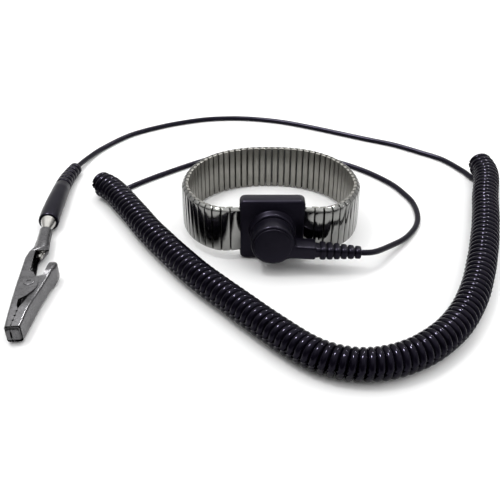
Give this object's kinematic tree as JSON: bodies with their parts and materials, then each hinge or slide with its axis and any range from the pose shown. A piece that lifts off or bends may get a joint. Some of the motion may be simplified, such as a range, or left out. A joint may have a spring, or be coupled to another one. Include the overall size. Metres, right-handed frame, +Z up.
{
  "type": "esd wrist strap",
  "caption": "Anti-static wrist strap: expansion metal wristband with snap housing, swivelling snap connector, coiled cord, banana plug and alligator clip.",
  "frame": {"origin": "on the table under the middle of the wristband unit (band, housing and stud)", "axes": "+X along the band's wide side towards the snap connector's cord exit, +Y from the snap housing to the back of the band, +Z up from the table"},
  "size_m": [0.1931, 0.1925, 0.0242],
  "materials": {
    "black_plastic": "satin",
    "black_vinyl": "glossy",
    "steel": "polished covers over satin bars",
    "nickel": "bright nickel plate",
    "resistor_enamel": "gloss",
    "brass": "satin"
  },
  "bodies": {
    "wristband_base": {"housing_cover": "black_plastic", "anchor_plate": "steel", "contact_plate": "steel", "snap_stud": "nickel", "snap_lead": "black_vinyl", "coiled_cord": "black_vinyl", "plug_lead": "black_vinyl", "plug_boot": "black_vinyl", "plug_body": "nickel"},
    "snap_socket": {"snap_socket": "nickel", "socket_spring": "steel"},
    "snap_connector": {"connector_body": "black_plastic", "connector_cap": "black_plastic", "resistor_body": "resistor_enamel", "resistor_lead_inner": "steel", "resistor_lead_outer": "steel", "crimp_sleeve": "brass"},
    "plug_spring": {"plug_cage_spring": "nickel"},
    "clip": {"clip_lower_jaw": "nickel", "clip_rivet": "nickel", "clip_spring": "steel"},
    "clip_jaw": {"clip_upper_jaw": "nickel"},
    "band_left_01": {"band_left_01": "steel"},
    "band_left_02": {"band_left_02": "steel"},
    "band_left_03": {"band_left_03": "steel"},
    "band_left_04": {"band_left_04": "steel"},
    "band_left_05": {"band_left_05": "steel"},
    "band_left_06": {"band_left_06": "steel"},
    "band_right_01": {"band_right_01": "steel"},
    "band_right_02": {"band_right_02": "steel"},
    "band_right_03": {"band_right_03": "steel"},
    "band_right_04": {"band_right_04": "steel"},
    "band_right_05": {"band_right_05": "steel"},
    "band_right_06": {"band_right_06": "steel"}
  },
  "joints": [
    {"name": "snap_pull_off", "type": "slide", "parent": "wristband_base", "child": "snap_socket", "axis": [0, -0.9983, 0.0579], "range_m": [0, 0.012], "deforming": ["snap_lead"]},
    {"name": "snap_swivel", "type": "hinge", "parent": "snap_socket", "child": "snap_connector", "pos_m": [0, -0.02851, 0.01221], "axis": [0, -0.9983, 0.0579], "range_deg": [-8, 182], "deforming": ["snap_lead"]},
    {"name": "clip_turn", "type": "hinge", "parent": "wristband_base", "child": "plug_spring", "pos_m": [-0.0876, -0.0068, 0.0043], "axis": [0.1, -0.995, 0], "continuous": true},
    {"name": "clip_pull_off", "type": "slide", "parent": "plug_spring", "child": "clip", "axis": [0.1, -0.995, 0], "range_m": [0, 0.02]},
    {"name": "jaw_open", "type": "hinge", "parent": "clip", "child": "clip_jaw", "pos_m": [-0.08323, -0.05028, 0.0043], "axis": [0, 0, 1], "range_deg": [0, 22], "stiffness_Nm_per_rad": 0.15, "springref_deg": -17.19, "deforming": ["clip_spring"]},
    {"name": "band_stretch", "type": "slide", "parent": "wristband_base", "child": "band_left_01", "axis": [-0.967, -0.2544, 0.0148], "range_m": [0, 0.0042], "stiffness_N_per_m": 1500},
    {"name": "band_left_02_slide", "type": "slide", "parent": "band_left_01", "child": "band_left_02", "axis": [-0.7001, 0.7129, -0.0414], "range_m": [-0.0002, 0.00457]},
    {"name": "band_left_03_slide", "type": "slide", "parent": "band_left_02", "child": "band_left_03", "axis": [-0.2177, 0.9744, -0.0565], "range_m": [-0.0002, 0.00451]},
    {"name": "band_left_04_slide", "type": "slide", "parent": "band_left_03", "child": "band_left_04", "axis": [0.2568, 0.9648, -0.056], "range_m": [-0.0002, 0.00446]},
    {"name": "band_left_05_slide", "type": "slide", "parent": "band_left_04", "child": "band_left_05", "axis": [0.6705, 0.7407, -0.043], "range_m": [-0.0002, 0.00441]},
    {"name": "band_left_06_slide", "type": "slide", "parent": "band_left_05", "child": "band_left_06", "axis": [0.9415, 0.3364, -0.0195], "range_m": [-0.0002, 0.00438]},
    {"name": "band_right_01_slide", "type": "slide", "parent": "wristband_base", "child": "band_right_01", "axis": [0.967, -0.2544, 0.0148], "range_m": [-0.0002, 0.0046]},
    {"name": "band_right_02_slide", "type": "slide", "parent": "band_right_01", "child": "band_right_02", "axis": [0.7001, 0.7129, -0.0414], "range_m": [-0.0002, 0.00457]},
    {"name": "band_right_03_slide", "type": "slide", "parent": "band_right_02", "child": "band_right_03", "axis": [0.2177, 0.9744, -0.0565], "range_m": [-0.0002, 0.00451]},
    {"name": "band_right_04_slide", "type": "slide", "parent": "band_right_03", "child": "band_right_04", "axis": [-0.2568, 0.9648, -0.056], "range_m": [-0.0002, 0.00446]},
    {"name": "band_right_05_slide", "type": "slide", "parent": "band_right_04", "child": "band_right_05", "axis": [-0.6705, 0.7407, -0.043], "range_m": [-0.0002, 0.00441]},
    {"name": "band_right_06_slide", "type": "slide", "parent": "band_right_05", "child": "band_right_06", "axis": [-0.9415, 0.3364, -0.0195], "range_m": [-0.0002, 0.00438]}
  ],
  "couplings": [
    {"joint": "band_left_02_slide", "follows": "band_stretch", "ratio": 0.99266},
    {"joint": "band_left_03_slide", "follows": "band_stretch", "ratio": 0.97938},
    {"joint": "band_left_04_slide", "follows": "band_stretch", "ratio": 0.96633},
    {"joint": "band_left_05_slide", "follows": "band_stretch", "ratio": 0.95495},
    {"joint": "band_left_06_slide", "follows": "band_stretch", "ratio": 0.94749},
    {"joint": "band_right_01_slide", "follows": "band_stretch", "ratio": 1},
    {"joint": "band_right_02_slide", "follows": "band_stretch", "ratio": 0.99266},
    {"joint": "band_right_03_slide", "follows": "band_stretch", "ratio": 0.97938},
    {"joint": "band_right_04_slide", "follows": "band_stretch", "ratio": 0.96633},
    {"joint": "band_right_05_slide", "follows": "band_stretch", "ratio": 0.95495},
    {"joint": "band_right_06_slide", "follows": "band_stretch", "ratio": 0.94749}
  ]
}
